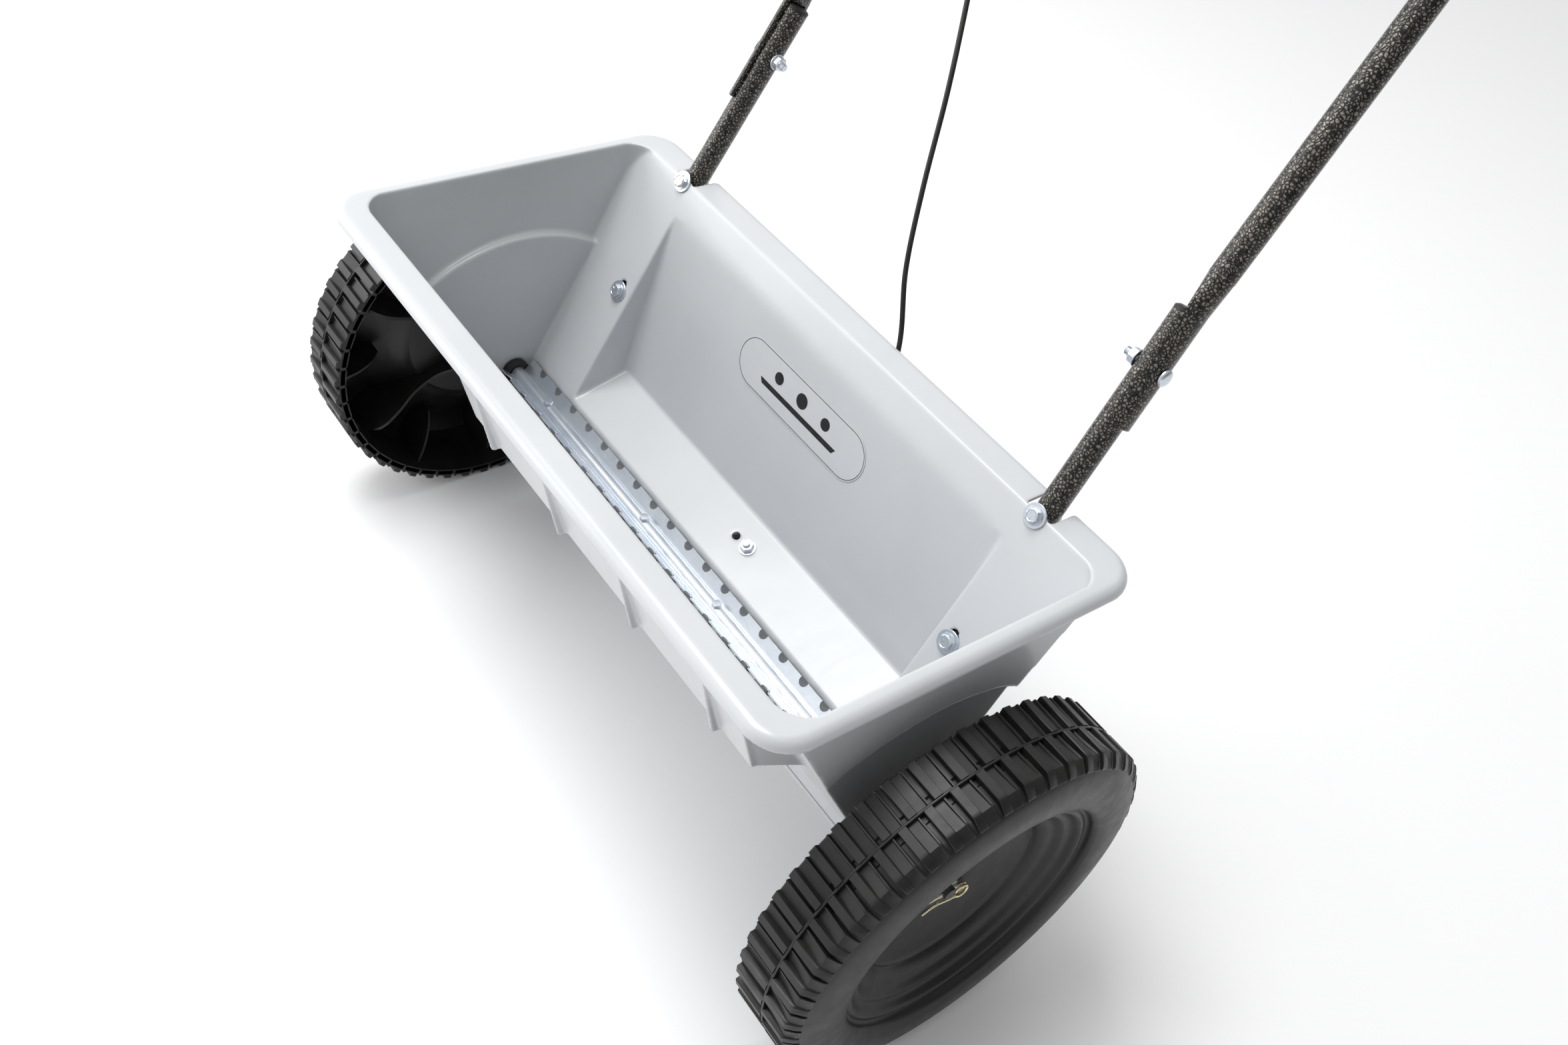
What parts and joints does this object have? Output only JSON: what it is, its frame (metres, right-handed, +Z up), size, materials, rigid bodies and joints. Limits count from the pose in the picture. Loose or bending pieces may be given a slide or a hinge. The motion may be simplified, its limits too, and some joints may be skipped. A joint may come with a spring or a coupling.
{
  "type": "drop spreader",
  "caption": "Walk-behind drop spreader: open hopper with agitator and sliding shutter, two ribbed wheels, tubular push handle, rate lever and cable",
  "frame": {"origin": "on the ground, under the middle of the whole machine's box", "axes": "+X along the axle toward the driven wheel, -Y forward, +Z up; the user stands at +Y"},
  "size_m": [0.7386, 0.6402, 1.0485],
  "materials": {
    "hopper_plastic": "semi-gloss moulded",
    "black_plastic": "satin moulded",
    "knob_plastic": "semi-gloss moulded",
    "foot_rubber": "matte",
    "foam": "closed-cell foam",
    "tube_paint": "hammered powder coat",
    "zinc": "bright zinc plate",
    "clip_zinc": "yellow passivated zinc",
    "badge_film": "printed film"
  },
  "bodies": {
    "frame": {"hopper": "hopper_plastic", "bush_left": "black_plastic", "bush_right": "black_plastic", "shutter_guide_front": "hopper_plastic", "shutter_guide_rear": "hopper_plastic", "guide_screws": "zinc", "return_spring": "zinc", "cable_bracket": "zinc", "bracket_bolt": "zinc", "bracket_washer": "zinc", "bracket_nut": "zinc", "bracket_rivet": "black_plastic", "cable_sheath": "black_plastic", "ferrule_lower": "zinc", "ferrule_upper": "zinc", "inner_wire_upper": "zinc", "lower_tube_left": "tube_paint", "lower_tube_right": "tube_paint", "tube_cap_left": "black_plastic", "tube_cap_right": "black_plastic", "foot_left": "foot_rubber", "foot_right": "foot_rubber", "handle_tube": "tube_paint", "foam_grip": "foam", "hopper_bolts": "zinc", "hopper_washers": "zinc", "hopper_nuts": "zinc", "handle_bolts": "zinc", "handle_nuts": "zinc", "control_housing": "black_plastic", "control_cover": "black_plastic", "control_screws": "zinc", "control_clamp": "black_plastic", "lever_bolt": "zinc", "panel_badge": "badge_film"},
    "axle_set": {"axle": "zinc", "agitator": "zinc", "agitator_screws": "zinc", "drive_wheel": "black_plastic", "drive_pin": "zinc", "axle_washers": "zinc", "r_clip_left": "clip_zinc", "r_clip_right": "clip_zinc"},
    "free_wheel": {"free_wheel": "black_plastic"},
    "shutter": {"shutter": "zinc", "wire_clamp": "zinc", "inner_wire_lower": "zinc"},
    "lever": {"rate_lever": "black_plastic", "lever_knob": "knob_plastic", "wire_nipple": "zinc"}
  },
  "joints": [
    {"name": "axle_spin", "type": "hinge", "parent": "frame", "child": "axle_set", "pos_m": [0, -0.16176, 0.1525], "axis": [1, 0, 0], "continuous": true},
    {"name": "free_wheel_spin", "type": "hinge", "parent": "frame", "child": "free_wheel", "pos_m": [-0.3109, -0.16176, 0.1525], "axis": [1, 0, 0], "continuous": true},
    {"name": "shutter_slide", "type": "slide", "parent": "frame", "child": "shutter", "axis": [1, 0, 0], "range_m": [0, 0.01315], "deforming": ["return_spring"]},
    {"name": "lever_swing", "type": "hinge", "parent": "frame", "child": "lever", "pos_m": [-0.1945, 0.21773, 0.85744], "axis": [1, 0, 0], "range_deg": [0, 45]}
  ],
  "couplings": [
    {"joint": "shutter_slide", "follows": "lever_swing", "m_per_rad": 0.016743}
  ]
}
